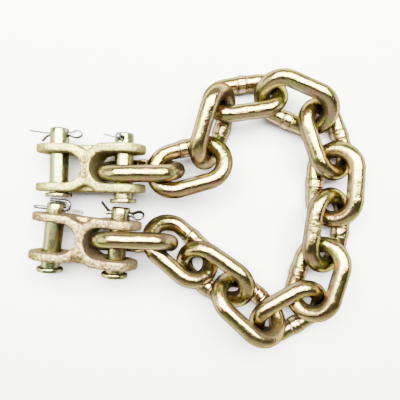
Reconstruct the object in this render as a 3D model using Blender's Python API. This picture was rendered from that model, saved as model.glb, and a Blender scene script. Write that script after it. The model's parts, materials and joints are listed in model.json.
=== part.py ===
"""A short length of yellow-plated steel chain with a double clevis on each end.

Fourteen welded links lie in a loop on the floor.  Each end link sits on edge in the
fork of a double clevis, held by a headed pin, and a split pin goes through the end
of every headed pin.  Everything is in metres, +Z up, with the floor at z = 0.
"""
import math

import bmesh
import bpy
import numpy as np
from mathutils import Matrix, Vector

# Gap that touching pieces keep between their meshes.
GAP = 0.0003

# Chain link: 9.6 mm wire, inside length 31 mm, inside width 14 mm.
WIRE_RADIUS = 0.0048
LINK_INNER_LENGTH = 0.031
LINK_INNER_WIDTH = 0.014
CROWN_RADIUS = LINK_INNER_WIDTH / 2 + WIRE_RADIUS
LEG_HALF = (LINK_INNER_LENGTH - LINK_INNER_WIDTH) / 2
CROWN_STEPS = 10
WIRE_SIDES = 12
WELD_HALF = 0.003
WELD_BLEND = 0.0008
WELD_PROUD = 0.0005

# Headed pin of a clevis.
PIN_RADIUS = 0.00525
PIN_LENGTH = 0.0375
PIN_CHAMFER = 0.0008
PIN_SIDES = 24
HEAD_RADIUS = 0.0074
HEAD_THICKNESS = 0.0025
HEAD_CHAMFER = 0.0005
CROSS_HOLE_RADIUS = 0.0017
CROSS_HOLE_TO_END = 0.0036

# Double clevis: two forks back to back on a narrow web.
PIN_SPACING = 0.0386
PIN_CLIMB = 0.0008
EYE_RADIUS = 0.0125
FORK_GAP = 0.0170
EAR_THICKNESS = 0.0052
CLEVIS_WIDTH = FORK_GAP + 2 * EAR_THICKNESS
WEB_HALF = 0.0025
WAIST_HALF_HEIGHT = 0.0098
NOTCH_HALF = 0.0078
NOTCH_DEPTH = 0.0038
FLANGE_HALF_THICKNESS = 0.0045
EDGE_BEVEL = 0.001
PIN_HOLE_RADIUS = PIN_RADIUS + GAP

# Split pin: one half-round wire folded into an eye and two strands.
STRAND_OFFSET = 0.0006
STRAND_SECTION = (
    (-0.0005, -0.00115), (0.0002, -0.0010), (0.00065, -0.0005),
    (0.00065, 0.0005), (0.0002, 0.0010), (-0.0005, 0.00115),
)
EYE_NECK = 0.0012
EYE_STEPS = 12

# How each link lies: x and y of its middle in millimetres, the heading of its long
# axis and its lean, in degrees.  The lean lifts the leg on the left of the heading,
# or on the right where it is negative.
LINK_LAYOUT = (
    (-34.2, 16.0, -3, -58),
    (-5.1, 18.7, 13, -48),
    (4.6, 41.4, 82, 78),
    (25.8, 60.3, 9, -38),
    (58.0, 57.2, -23, 28),
    (73.5, 33.8, -73, -32),
    (80.0, 9.3, -92, 24),
    (72.4, -17.2, -97, -30),
    (68.8, -46.0, -108, 24),
    (51.8, -65.4, 210, -31),
    (27.2, -63.4, 138, 44),
    (9.2, -42.2, 147, -36),
    (-10.4, -28.8, 136, 44),
    (-38.0, -24.9, 174, -82),
)

# Where each clevis lies: the plan place of its inner pin in millimetres and the
# heading of its outer end, in degrees.
CLEVIS_LAYOUT = {
    "upper": (-43.3, 17.6, 179.0),
    "lower": (-46.9, -24.9, 174.0),
}

# Each split pin: play of its headed pin in millimetres, roll about it and twist of the
# eye in degrees, then the eye's length and width and its legs in millimetres.
SPLIT_PINS = {
    ("upper", "outer"): (
        0.1, 180, 0, 6.0, 4.0,
        ((8.0, 0.8, 0.0), (12.0, 1.2, 0.0), (18.0, 2.2, 0.0)),
        ((7.6, -1.2, 0.0), (10.5, -4.0, 0.0)),
    ),
    ("upper", "inner"): (
        3.0, 90, 0, 4.2, 3.6,
        ((7.2, 0.7, -0.5), (7.9, 1.0, -2.5), (7.9, 2.4, -8.0), (7.9, 4.4, -15.0)),
        ((7.2, -0.7, -0.5), (7.9, -0.9, -2.5), (7.9, -1.0, -8.0)),
    ),
    ("lower", "outer"): (
        4.0, 0, 90, 6.0, 3.6,
        ((7.2, 0.7, 0.6), (8.1, 2.6, 0.6), (7.2, 4.4, 0.6), (5.0, 4.95, 0.6), (-4.0, 4.95, 0.6)),
        ((9.0, -0.1, -0.7), (16.0, -0.6, -0.9)),
    ),
    ("lower", "inner"): (
        2.6, 180, 45, 6.0, 6.0,
        ((7.2, 0.9, 0.3), (9.0, 2.6, 0.3), (12.0, 5.6, 0.3)),
        ((7.2, -0.6, -0.5), (8.4, -0.8, -0.9)),
    ),
}

# How the links settle: rounds, the share of them in which the links drop, the drop and
# the pull back to the layout in each, and the distance kept between links.
SETTLE_ROUNDS = 1200
SETTLE_DROPPING = 0.7
SETTLE_DROP = 0.00003
SETTLE_HOLD = 0.03
SETTLE_GAP = 1.3 * GAP


def clear_scene():
    """Empty the file of its start objects."""
    for obj in list(bpy.data.objects):
        bpy.data.objects.remove(obj, do_unlink=True)


def metal(name, colour, roughness, metallic=1.0):
    """A plain metal material."""
    material = bpy.data.materials.new(name)
    material.use_nodes = True
    shader = material.node_tree.nodes["Principled BSDF"]
    shader.inputs["Base Color"].default_value = (*colour, 1.0)
    shader.inputs["Roughness"].default_value = roughness
    shader.inputs["Metallic"].default_value = metallic
    return material


def place(name, mesh, material, matrix, parent=None):
    """Put a mesh in the scene as a named object."""
    obj = bpy.data.objects.new(name, mesh)
    bpy.context.scene.collection.objects.link(obj)
    if not mesh.materials:
        mesh.materials.append(material)
    obj.material_slots[0].link = "OBJECT"
    obj.material_slots[0].material = material
    if parent is not None:
        obj.parent = parent
    obj.matrix_local = matrix
    return obj


def place_empty(name, matrix, parent=None):
    """An empty that carries other objects."""
    empty = bpy.data.objects.new(name, None)
    bpy.context.scene.collection.objects.link(empty)
    if parent is not None:
        empty.parent = parent
    empty.matrix_local = matrix
    return empty


def finish_mesh(bm, name):
    """Turn a bmesh into a mesh with outward faces and smooth rounds."""
    bmesh.ops.recalc_face_normals(bm, faces=bm.faces)
    mesh = bpy.data.meshes.new(name)
    bm.to_mesh(mesh)
    bm.free()
    mesh.shade_smooth()
    mesh.set_sharp_from_angle(angle=math.radians(35))
    return mesh


def directions(path, closed):
    """The way in, the way out and the mean way at every point of a path."""
    ways = [(after - before).normalized() for before, after in zip(path, path[1:])]
    if closed:
        last = (path[0] - path[-1]).normalized()
        way_in = [last] + ways
        way_out = ways + [last]
    else:
        way_in = [ways[0]] + ways
        way_out = ways + [ways[-1]]
    return [(first, (first + second).normalized()) for first, second in zip(way_in, way_out)]


def sweep(name, path, sections, normal, closed, start=0):
    """Sweep one section after another along a path.

    Each section is a list of (out, side) offsets.  The side direction is the normal at
    the start point, and turns with the path on both sides of it; out is square to it.
    """
    ways = directions(path, closed)
    sides = {}
    for order in (range(start, len(path)), range(start - 1, -1, -1)):
        side = normal
        for index in order:
            tangent = ways[index][1]
            side = (side - tangent * side.dot(tangent)).normalized()
            sides[index] = side
    bm = bmesh.new()
    rings = []
    for index, point in enumerate(path):
        way_in, tangent = ways[index]
        across = tangent.cross(sides[index])
        stretch = 1.0 / max(0.6, tangent.dot(way_in))
        ring = []
        for out, side_offset in sections[index]:
            ring.append(bm.verts.new(point + across * out * stretch + sides[index] * side_offset))
        rings.append(ring)
    pairs = list(zip(rings, rings[1:]))
    if closed:
        pairs.append((rings[-1], rings[0]))
    for ring, following in pairs:
        size = len(ring)
        for k in range(size):
            bm.faces.new((ring[k], ring[(k + 1) % size], following[(k + 1) % size], following[k]))
    if not closed:
        bm.faces.new(list(reversed(rings[0])))
        bm.faces.new(rings[-1])
    return finish_mesh(bm, name)


def link_outline(crown_steps, leg_places):
    """Points of a link's middle line: the weld leg, a crown, the plain leg, a crown."""
    points = [(x, -CROWN_RADIUS) for x in leg_places]
    for k in range(crown_steps + 1):
        angle = -math.pi / 2 + math.pi * k / crown_steps
        points.append((LEG_HALF + CROWN_RADIUS * math.cos(angle), CROWN_RADIUS * math.sin(angle)))
    for k in range(crown_steps + 1):
        angle = math.pi / 2 + math.pi * k / crown_steps
        points.append((CROWN_RADIUS * math.cos(angle) - LEG_HALF, CROWN_RADIUS * math.sin(angle)))
    return points


def link_mesh():
    """One welded link, flat in the XY plane, with the weld collar on its -Y leg."""
    leg_places = (-WELD_HALF - WELD_BLEND, -WELD_HALF, WELD_HALF, WELD_HALF + WELD_BLEND)
    outline = link_outline(CROWN_STEPS, leg_places)
    path = [Vector((x, y, 0.0)) for x, y in outline]
    sections = []
    for x, y in outline:
        on_weld = y == -CROWN_RADIUS and abs(x) <= WELD_HALF
        radius = WIRE_RADIUS + WELD_PROUD if on_weld else WIRE_RADIUS
        turn = math.tau / WIRE_SIDES
        sections.append([(radius * math.cos(turn * k), radius * math.sin(turn * k)) for k in range(WIRE_SIDES)])
    return sweep("link", path, sections, Vector((0.0, 0.0, 1.0)), closed=True)


def turned_mesh(name, profile, sides):
    """Turn a profile of (radius, place) points about the Y axis and cap its ends."""
    bm = bmesh.new()
    rings = []
    for radius, y in profile:
        ring = []
        for k in range(sides):
            angle = math.tau * k / sides
            ring.append(bm.verts.new((radius * math.cos(angle), y, radius * math.sin(angle))))
        rings.append(ring)
    for ring, following in zip(rings, rings[1:]):
        for k in range(sides):
            bm.faces.new((ring[k], ring[(k + 1) % sides], following[(k + 1) % sides], following[k]))
    bm.faces.new(rings[0])
    bm.faces.new(list(reversed(rings[-1])))
    return finish_mesh(bm, name)


def extruded_mesh(name, outline, depth, lift):
    """Extrude an outline by depth, half to each side; lift turns (a, b, c) to a place."""
    bm = bmesh.new()
    lower = [bm.verts.new(lift(a, b, -depth / 2)) for a, b in outline]
    upper = [bm.verts.new(lift(a, b, depth / 2)) for a, b in outline]
    size = len(outline)
    for k in range(size):
        bm.faces.new((lower[k], lower[(k + 1) % size], upper[(k + 1) % size], upper[k]))
    bm.faces.new(list(reversed(lower)))
    bm.faces.new(upper)
    return finish_mesh(bm, name)


def combine(name, base, steps):
    """Cut, join or bevel a mesh by modifiers and return the result as a mesh."""
    main = bpy.data.objects.new(name, base)
    bpy.context.scene.collection.objects.link(main)
    helpers = [main]
    for operation, value in steps:
        if operation == "BEVEL":
            bevel = main.modifiers.new("bevel", "BEVEL")
            bevel.width = value
            bevel.segments = 1
            bevel.limit_method = "ANGLE"
            bevel.angle_limit = math.radians(40)
            continue
        helper = bpy.data.objects.new(name + "_tool", value)
        bpy.context.scene.collection.objects.link(helper)
        helpers.append(helper)
        boolean = main.modifiers.new(operation.lower(), "BOOLEAN")
        boolean.operation = operation
        boolean.solver = "EXACT"
        boolean.object = helper
    bpy.context.view_layer.update()
    graph = bpy.context.evaluated_depsgraph_get()
    mesh = bpy.data.meshes.new_from_object(main.evaluated_get(graph))
    mesh.name = name
    for helper in helpers:
        bpy.data.objects.remove(helper, do_unlink=True)
    mesh.shade_smooth()
    mesh.set_sharp_from_angle(angle=math.radians(35))
    return mesh


def arc(centre_a, centre_b, radius, start, stop, steps):
    """Points along an arc, angles in degrees."""
    points = []
    for k in range(steps + 1):
        angle = math.radians(start + (stop - start) * k / steps)
        points.append((centre_a + radius * math.cos(angle), centre_b + radius * math.sin(angle)))
    return points


def clevis_plan():
    """The clevis seen from above: two forks, and a rounded notch on each side."""
    half = CLEVIS_WIDTH / 2
    inner = FORK_GAP / 2
    end = PIN_SPACING / 2 + EYE_RADIUS + 0.001
    bottom = half - NOTCH_DEPTH
    notch = (
        (NOTCH_HALF, half),
        (NOTCH_HALF * 0.25, bottom + NOTCH_DEPTH * 0.12),
        (0.0, bottom),
        (-NOTCH_HALF * 0.25, bottom + NOTCH_DEPTH * 0.12),
        (-NOTCH_HALF, half),
    )
    points = [(end, inner), (end, half)]
    points += notch
    points += [(-end, half), (-end, inner)]
    points += arc(-WEB_HALF - inner, 0.0, inner, 90, -90, 10)
    points += [(-end, -inner), (-end, -half)]
    points += [(a, -b) for a, b in reversed(notch)]
    points += [(end, -half), (end, -inner)]
    points += arc(WEB_HALF + inner, 0.0, inner, 270, 90, 10)
    return points


def clevis_side():
    """The clevis seen from the side: a round eye at each pin and a lower waist."""
    reach = PIN_SPACING / 2
    lean = math.degrees(math.asin((EYE_RADIUS - WAIST_HALF_HEIGHT) / reach)) * 2
    points = arc(reach, 0.0, EYE_RADIUS, -90 - lean, 90 + lean, 18)
    points.append((0.0, WAIST_HALF_HEIGHT))
    points += arc(-reach, 0.0, EYE_RADIUS, 90 - lean, 270 + lean, 18)
    points.append((0.0, -WAIST_HALF_HEIGHT))
    return points


def clevis_flange():
    """The thin plate that fills the notches at half height, seen from above."""
    half = CLEVIS_WIDTH / 2 - GAP
    reach = NOTCH_HALF + 0.001
    depth = half - NOTCH_DEPTH - 0.001
    return [(-reach, depth), (reach, depth), (reach, half), (-reach, half)]


def clevis_mesh():
    """The forged body of a double clevis, its pin holes along Y, centred between them."""
    def plan(a, b, c):
        return (a, b, c)

    def side(a, b, c):
        return (a, c, b)

    body = extruded_mesh("plan", clevis_plan(), 3 * EYE_RADIUS, plan)
    profile = extruded_mesh("side", clevis_side(), 2 * CLEVIS_WIDTH, side)
    flange = clevis_flange()
    opposite = [(a, -b) for a, b in reversed(flange)]
    steps = [("INTERSECT", profile), ("BEVEL", EDGE_BEVEL)]
    for outline in (flange, opposite):
        steps.append(("UNION", extruded_mesh("flange", outline, 2 * FLANGE_HALF_THICKNESS, plan)))
    for reach in (-PIN_SPACING / 2, PIN_SPACING / 2):
        drill = turned_mesh("drill", ((PIN_HOLE_RADIUS, -CLEVIS_WIDTH), (PIN_HOLE_RADIUS, CLEVIS_WIDTH)), PIN_SIDES)
        drill.transform(Matrix.Translation((reach, 0.0, 0.0)))
        steps.append(("DIFFERENCE", drill))
    return combine("clevis", body, steps)


def pin_mesh():
    """A headed pin along Y: its head's seat at y = 0, its cross hole along X."""
    profile = (
        (HEAD_RADIUS - HEAD_CHAMFER, -HEAD_THICKNESS),
        (HEAD_RADIUS, HEAD_CHAMFER - HEAD_THICKNESS),
        (HEAD_RADIUS, -HEAD_CHAMFER),
        (HEAD_RADIUS - HEAD_CHAMFER, 0.0),
        (PIN_RADIUS, 0.0),
        (PIN_RADIUS, PIN_LENGTH - PIN_CHAMFER),
        (PIN_RADIUS - PIN_CHAMFER, PIN_LENGTH),
    )
    drill = turned_mesh("drill", ((CROSS_HOLE_RADIUS, -0.01), (CROSS_HOLE_RADIUS, 0.01)), 10)
    drill.transform(Matrix.Translation((0.0, PIN_LENGTH - CROSS_HOLE_TO_END, 0.0)) @ Matrix.Rotation(math.pi / 2, 4, "Z"))
    return combine("pin", turned_mesh("pin", profile, PIN_SIDES), [("DIFFERENCE", drill)])


def split_pin_mesh(name, twist, eye_length, eye_width, near_leg, far_leg):
    """A split pin with its strands along X and its eye on the -X side.

    The eye's plane is twisted about X from the XY plane.  The legs are lists of
    (x, y, z) points in millimetres past the hole, tip last.
    """
    mouth = PIN_RADIUS + 0.001
    middle = -mouth - EYE_NECK - eye_length / 2
    loop = [Vector((mouth, STRAND_OFFSET, 0.0)), Vector((-mouth, STRAND_OFFSET, 0.0))]
    for k in range(EYE_STEPS + 1):
        angle = math.radians(50 + 260 * k / EYE_STEPS)
        loop.append(Vector((middle + eye_length / 2 * math.cos(angle), eye_width / 2 * math.sin(angle), 0.0)))
    loop += [Vector((-mouth, -STRAND_OFFSET, 0.0)), Vector((mouth, -STRAND_OFFSET, 0.0))]
    roll = Matrix.Rotation(math.radians(twist), 3, "X")
    path = [Vector(point) * 0.001 for point in reversed(near_leg)]
    start = len(path) + len(loop) // 2
    path += [roll @ point for point in loop]
    path += [Vector(point) * 0.001 for point in far_leg]
    normal = roll @ Vector((0.0, 0.0, 1.0))
    return sweep(name, path, [STRAND_SECTION] * len(path), normal, closed=False, start=start)


class Pose:
    """A rigid link while the chain settles: where its middle is and how it is turned."""

    spread = None

    def __init__(self, place_xyz, turn, fixed=False):
        self.place = np.array(place_xyz)
        self.turn = turn
        self.fixed = fixed

    def ease(self, point, direction):
        """How far one unit of push at a point moves that point."""
        if self.fixed:
            return 0.0
        arm = np.cross(point - self.place, direction)
        return 1.0 + arm @ (self.turn @ Pose.spread @ self.turn.T) @ arm

    def push(self, point, direction, amount):
        """Push the link at a point, which shifts it and turns it."""
        if self.fixed:
            return
        arm = np.cross(point - self.place, direction)
        spin = (self.turn @ Pose.spread @ self.turn.T) @ arm * amount
        self.place = self.place + direction * amount
        self.turn = turned(spin) @ self.turn


def turned(spin):
    """The rotation matrix of a rotation vector."""
    return np.array(Matrix.Rotation(float(np.linalg.norm(spin)), 3, Vector(spin)))


def layout_turn(heading, lean):
    """The rotation of a link that has this heading and lean."""
    if lean < 0:
        heading += 180
        lean = -lean
    about_z = Matrix.Rotation(math.radians(heading), 3, "Z")
    about_x = Matrix.Rotation(math.radians(lean), 3, "X")
    return np.array(about_z @ about_x)


def hold_plan(pose, goal_place, goal_turn):
    """Ease a link back to its plan place, heading and lean; height and pitch stay free."""
    shift = SETTLE_HOLD * (goal_place - pose.place)
    pose.place = pose.place + np.array((shift[0], shift[1], 0.0))
    along = pose.turn[:, 0]
    level = np.array((goal_turn[0, 0], goal_turn[1, 0], 0.0))
    level *= math.sqrt(1.0 - along[2] ** 2) / np.linalg.norm(level)
    level[2] = along[2]
    side = np.cross((0.0, 0.0, 1.0), along)
    side /= np.linalg.norm(side)
    over = np.cross(along, side)
    lean = math.asin(goal_turn[2, 1])
    wanted = side * math.cos(lean) + over * math.sin(lean)
    spin = np.cross(along, level) + along * np.dot(along, np.cross(pose.turn[:, 1], wanted))
    pose.turn = turned(SETTLE_HOLD * spin) @ pose.turn


def settle(poses, goals, line, stops):
    """Lower the links until each rests on the floor or its neighbours.

    Each end link also has a fixed stop: the pin and the web of its clevis.  Each round
    drops every link a little, eases it back to its layout, and then pushes apart
    whatever is closer than the two radii and the gap.  The last rounds only push.
    """
    Pose.spread = np.linalg.inv(sum(np.dot(p, p) * np.eye(3) - np.outer(p, p) for p in line) / len(line))
    upward = np.array((0.0, 0.0, 1.0))
    for turn_number in range(SETTLE_ROUNDS):
        if turn_number < SETTLE_ROUNDS * SETTLE_DROPPING:
            for pose, goal in zip(poses, goals):
                pose.place = pose.place - upward * SETTLE_DROP
                hold_plan(pose, *goal)
        chain = [stops[0]] + poses + [stops[1]]
        for first, second in zip(chain, chain[1:]):
            first_line = first.place + first.line @ first.turn.T
            second_line = second.place + second.line @ second.turn.T
            offsets = first_line[:, None] - second_line[None]
            lengths = np.sqrt((offsets ** 2).sum(axis=2))
            a, b = np.unravel_index(np.argmin(lengths), lengths.shape)
            reach = first.radius + second.radius + SETTLE_GAP
            if lengths[a, b] < reach:
                direction = offsets[a, b] / lengths[a, b]
                ease = first.ease(first_line[a], direction) + second.ease(second_line[b], direction)
                amount = (reach - lengths[a, b]) / ease
                first.push(first_line[a], direction, amount)
                second.push(second_line[b], -direction, amount)
        for pose in poses:
            points = pose.place + pose.line @ pose.turn.T
            low = points[np.argmin(points[:, 2])]
            if low[2] < WIRE_RADIUS + WELD_PROUD:
                lift = (WIRE_RADIUS + WELD_PROUD - low[2]) / pose.ease(low, upward)
                pose.push(low, upward, lift)


def settled_links():
    """The pose of every link, in chain order, as matrices."""
    outline = link_outline(12, (-LEG_HALF / 2, 0.0, LEG_HALF / 2))
    line = np.array([(x, y, 0.0) for x, y in outline])
    poses = []
    goals = []
    for x, y, heading, lean in LINK_LAYOUT:
        turn = layout_turn(heading, lean)
        height = WIRE_RADIUS + CROWN_RADIUS * turn[2, 1]
        pose = Pose((x * 0.001, y * 0.001, height), turn)
        pose.line = line
        pose.radius = WIRE_RADIUS
        poses.append(pose)
        goals.append((pose.place, pose.turn))
    stops = []
    web_place = PIN_SPACING / 2 - WEB_HALF + PIN_RADIUS
    stop_line = [(0.0, place_y, 0.0) for place_y in np.linspace(-FORK_GAP / 2, FORK_GAP / 2, 15)]
    stop_line += [(web_place, 0.0, place_z) for place_z in np.linspace(-EYE_RADIUS, EYE_RADIUS, 15)]
    for x, y, heading in CLEVIS_LAYOUT.values():
        turn = np.array(Matrix.Rotation(math.radians(heading), 3, "Z"))
        stop = Pose((x * 0.001, y * 0.001, inner_pin_height()), turn, fixed=True)
        stop.line = np.array(stop_line)
        stop.radius = PIN_RADIUS
        stops.append(stop)
    settle(poses, goals, line, stops)
    matrices = []
    for pose in poses:
        matrices.append(Matrix.Translation(pose.place) @ Matrix(pose.turn.tolist()).to_4x4())
    return matrices


def inner_pin_height():
    """An inner pin lies low in the crown of its end link, which stands on the floor."""
    return 2 * WIRE_RADIUS + WELD_PROUD + PIN_RADIUS + GAP + PIN_CLIMB


def clevis_frame(side):
    """The frame of a clevis: at its inner pin, X towards its outer end, pin along Y."""
    x, y, heading = CLEVIS_LAYOUT[side]
    drop = inner_pin_height() - EYE_RADIUS
    pitch = math.asin(drop / PIN_SPACING)
    place_matrix = Matrix.Translation((x * 0.001, y * 0.001, inner_pin_height()))
    return place_matrix @ Matrix.Rotation(math.radians(heading), 4, "Z") @ Matrix.Rotation(pitch, 4, "Y")


def build_clevis(side, root, body_mesh, shank_mesh, materials):
    """One double clevis with its two headed pins and their split pins."""
    pivot = place_empty(side + "_clevis_pivot", clevis_frame(side), root)
    flip = Matrix.Rotation(math.pi, 4, "Z")
    body_place = Matrix.Translation((PIN_SPACING / 2, 0.0, 0.0)) @ flip
    place(side + "_clevis", body_mesh, materials[side], body_place, pivot)
    for which, reach in (("inner", 0.0), ("outer", PIN_SPACING)):
        play, roll, twist, eye_length, eye_width, near_leg, far_leg = SPLIT_PINS[side, which]
        seat = CLEVIS_WIDTH / 2 + GAP + play * 0.001
        pin_place = Matrix.Translation((reach, seat, 0.0)) @ flip @ Matrix.Rotation(math.radians(roll), 4, "Y")
        name = "_".join((side, which, "pin"))
        place(name, shank_mesh, materials["pin"], pin_place, pivot)
        mesh = split_pin_mesh(name + "_split", twist, eye_length * 0.001, eye_width * 0.001, near_leg, far_leg)
        lay = Matrix.Translation((0.0, PIN_LENGTH - CROSS_HOLE_TO_END, 0.0))
        place("_".join((side, which, "split_pin")), mesh, materials["split"], pin_place @ lay, pivot)


def main():
    """Build the whole chain and centre it over the origin."""
    clear_scene()
    materials = {
        "link": metal("chromated_link", (0.46, 0.36, 0.16), 0.3),
        "upper": metal("pale_forging", (0.55, 0.52, 0.27), 0.42),
        "lower": metal("rosy_forging", (0.55, 0.42, 0.27), 0.45),
        "pin": metal("chromated_pin", (0.5, 0.47, 0.27), 0.33),
        "split": metal("bright_zinc", (0.6, 0.61, 0.62), 0.25),
    }
    root = place_empty("clevis_chain", Matrix.Identity(4))
    mesh = link_mesh()
    for number, matrix in enumerate(settled_links(), start=1):
        place("chain_link_%02d" % number, mesh, materials["link"], matrix, root)
    body_mesh = clevis_mesh()
    shank_mesh = pin_mesh()
    for side in CLEVIS_LAYOUT:
        build_clevis(side, root, body_mesh, shank_mesh, materials)
    bpy.context.view_layer.update()
    corners = []
    for obj in bpy.context.scene.objects:
        if obj.type == "MESH":
            corners += [obj.matrix_world @ vertex.co for vertex in obj.data.vertices]
    corners = np.array(corners)
    low = corners.min(axis=0)
    high = corners.max(axis=0)
    root.location = (-(low[0] + high[0]) / 2, -(low[1] + high[1]) / 2, -low[2])
    bpy.context.view_layer.update()


main()
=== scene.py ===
"""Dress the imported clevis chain: plated links, forged clevises, headed pins, split pins.

Every piece stands for one CAD node and is placed from that node or from the swing
joint of its clevis.  Lengths are in metres, +Z up, with the floor at z = 0.
"""

import json
import math

import bmesh
import bpy
import numpy as np
from bpy.props import FloatProperty, FloatVectorProperty, IntProperty, PointerProperty
from mathutils import Matrix, Vector


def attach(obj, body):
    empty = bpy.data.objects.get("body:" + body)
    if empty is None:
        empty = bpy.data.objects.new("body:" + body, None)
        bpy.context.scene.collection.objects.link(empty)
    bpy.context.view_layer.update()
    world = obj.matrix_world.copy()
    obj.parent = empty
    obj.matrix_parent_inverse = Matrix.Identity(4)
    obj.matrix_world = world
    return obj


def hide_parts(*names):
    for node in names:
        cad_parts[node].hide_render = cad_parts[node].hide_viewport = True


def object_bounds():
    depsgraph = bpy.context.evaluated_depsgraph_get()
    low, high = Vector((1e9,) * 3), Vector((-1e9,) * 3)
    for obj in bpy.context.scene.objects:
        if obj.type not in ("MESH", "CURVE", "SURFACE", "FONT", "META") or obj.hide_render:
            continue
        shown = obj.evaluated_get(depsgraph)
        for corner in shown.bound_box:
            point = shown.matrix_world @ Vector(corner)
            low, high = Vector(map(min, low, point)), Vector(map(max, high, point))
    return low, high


bl_info = {
    "name": "Clevis Chain Builder",
    "version": (1, 0, 0),
    "blender": (4, 5, 0),
    "location": "3D View > Sidebar > Clevis Chain",
    "description": "Builds a plated steel chain with a double clevis pinned to each end",
    "category": "Add Mesh",
}

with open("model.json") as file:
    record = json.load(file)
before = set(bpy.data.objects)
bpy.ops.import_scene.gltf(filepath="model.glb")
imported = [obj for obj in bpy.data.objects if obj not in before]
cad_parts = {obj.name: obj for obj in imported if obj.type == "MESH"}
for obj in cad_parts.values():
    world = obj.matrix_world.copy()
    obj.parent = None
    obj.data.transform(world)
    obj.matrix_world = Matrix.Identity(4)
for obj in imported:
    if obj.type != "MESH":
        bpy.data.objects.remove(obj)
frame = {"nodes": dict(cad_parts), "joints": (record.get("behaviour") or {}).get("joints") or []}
CAD_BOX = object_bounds()

LINK_COUNT = 14
LINK_BODY = "chain"
ROUGH_LINK = 8
SEED_STEP = 3.7
SIDES = ("upper", "lower")

# The solids' own sizes, repeated here because every piece keeps its node's place.
WIRE_DIAMETER = 0.0096
LINK_INNER_LENGTH = 0.031
LINK_INNER_WIDTH = 0.014
WELD_RISE = 0.0005
PIN_SPACING = 0.0386
PIN_RADIUS = 0.00525
PIN_LENGTH = 0.0375
HEAD_RADIUS = 0.0074
HEAD_THICKNESS = 0.0025
CROSS_HOLE_TO_END = 0.0036
CLEVIS_WIDTH = 0.0274
FORK_GAP = 0.0170
EYE_RADIUS = 0.0125
FORKS = {"inner": 0.0, "outer": PIN_SPACING}

# The same path points as the solids' split pins.  Roll turns the headed pin and twist
# turns the eye, in degrees.  The eye's length and width and the legs are in millimetres.
SPLIT_PINS = {
    ("upper", "outer"): {
        "roll": 180, "twist": 0, "eye": (6.0, 4.0),
        "near_leg": ((8.0, 0.8, 0.0), (12.0, 1.2, 0.0), (18.0, 2.2, 0.0)),
        "far_leg": ((7.6, -1.2, 0.0), (10.5, -4.0, 0.0)),
    },
    ("upper", "inner"): {
        "roll": 90, "twist": 0, "eye": (4.2, 3.6),
        "near_leg": ((7.2, 0.7, -0.5), (7.9, 1.0, -2.5), (7.9, 2.4, -8.0), (7.9, 4.4, -15.0)),
        "far_leg": ((7.2, -0.7, -0.5), (7.9, -0.9, -2.5), (7.9, -1.0, -8.0)),
    },
    ("lower", "outer"): {
        "roll": 0, "twist": 90, "eye": (6.0, 3.6),
        "near_leg": (
            (7.2, 0.7, 0.6), (8.1, 2.6, 0.6), (7.2, 4.4, 0.6), (5.0, 4.95, 0.6), (-4.0, 4.95, 0.6),
        ),
        "far_leg": ((9.0, -0.1, -0.7), (16.0, -0.6, -0.9)),
    },
    ("lower", "inner"): {
        "roll": 180, "twist": 45, "eye": (6.0, 6.0),
        "near_leg": ((7.2, 0.9, 0.3), (9.0, 2.6, 0.3), (12.0, 5.6, 0.3)),
        "far_leg": ((7.2, -0.6, -0.5), (8.4, -0.8, -0.9)),
    },
}

BEND_POINTS = 128
WELD_LEG_LIMIT = -0.0005
UPSET_RISE = 0.00012
SEAM_INSET = 0.0006
FULL_SCAR = 0.00025

# Distances between which a shape on the wire fades in, and the width of the collar's edge.
COLLAR_FADE = 0.0004
UPSET_FADE = (0.008, 0.002)
SEAM_FADE = (0.00042, 0.0001)
SCAR_FADE = (0.0055, 0.0035)
SCAR_HEIGHT_FADE = (0.0, 0.0015)

# Noise patterns: scale, detail, and the two values between which the pattern fades in.
FLASH_LUMPS = (420.0, 1.0, 0.35, 0.65)
SCAR_PITS = (800.0, 2.0, 0.40, 0.60)
SECOND_TINT = (90.0, 3.0, 0.45, 0.62)
THIRD_TINT = (170.0, 3.0, 0.50, 0.68)
WELD_STAIN = (600.0, 2.0, 0.35, 0.6)
SCAR_DIRT = (1300.0, 2.0, 0.4, 0.6)
ZINC_PATCHES = (500.0, 3.0, 0.4, 0.7)

# Noises that are read as they are: scale, detail and, for some, roughness.  The wire is
# true where the waves are at their level.
WAVES = (110.0, 1.5)
WAVE_LEVEL = 0.62
POLISH = (260.0, 4.0, 0.6)
STREAKS = (1100.0, 3.0, 0.6)
STREAK_STRETCH = (0.12, 1.0, 1.0)
ZINC_POLISH = (900.0, 3.0)
ZINC_GRAIN = (2500.0, 3.0)

# Colours of the stains, of the shade painted on upright surfaces and along the raised
# marks, the shares with which they are laid on, and the shades of dark specks and dull
# patches as parts of the base colour.
STAIN_COLOUR = (0.40, 0.26, 0.17)
STAIN_SHARE = 0.4
DIRT_COLOUR = (0.05, 0.035, 0.02)
SEAM_DIRT_SHARE = 0.85
# Colour and share of the shade painted along the sides of the raised marks.
MARK_PAINTED_SHADE_COLOUR = (0.07, 0.055, 0.02)
MARK_PAINTED_SHADE_SHARE = 0.85
# Colour of the shade painted on upright surfaces of the links, clevises and headed pins.
PAINTED_SHADE_COLOUR = (0.13, 0.102, 0.082)
SPECK_SHADE = 0.28
# Colour of the shade painted on upright surfaces of the split pins.
ZINC_PAINTED_SHADE_COLOUR = (0.025, 0.026, 0.03)
ZINC_SHADE = 0.5
ZINC_SHARE = 0.7

# Roughness that the rough patch adds, shares of the finer patterns in the height that the
# bump reads, and the bump's depth.
SCAR_DULLING = 0.25
FINE_SHARE = 0.25
STREAK_SHARE = 0.5
BUMP_DEPTH = 0.0006
ZINC_BUMP = {"Strength": 0.3, "Distance": 0.0003}
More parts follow.
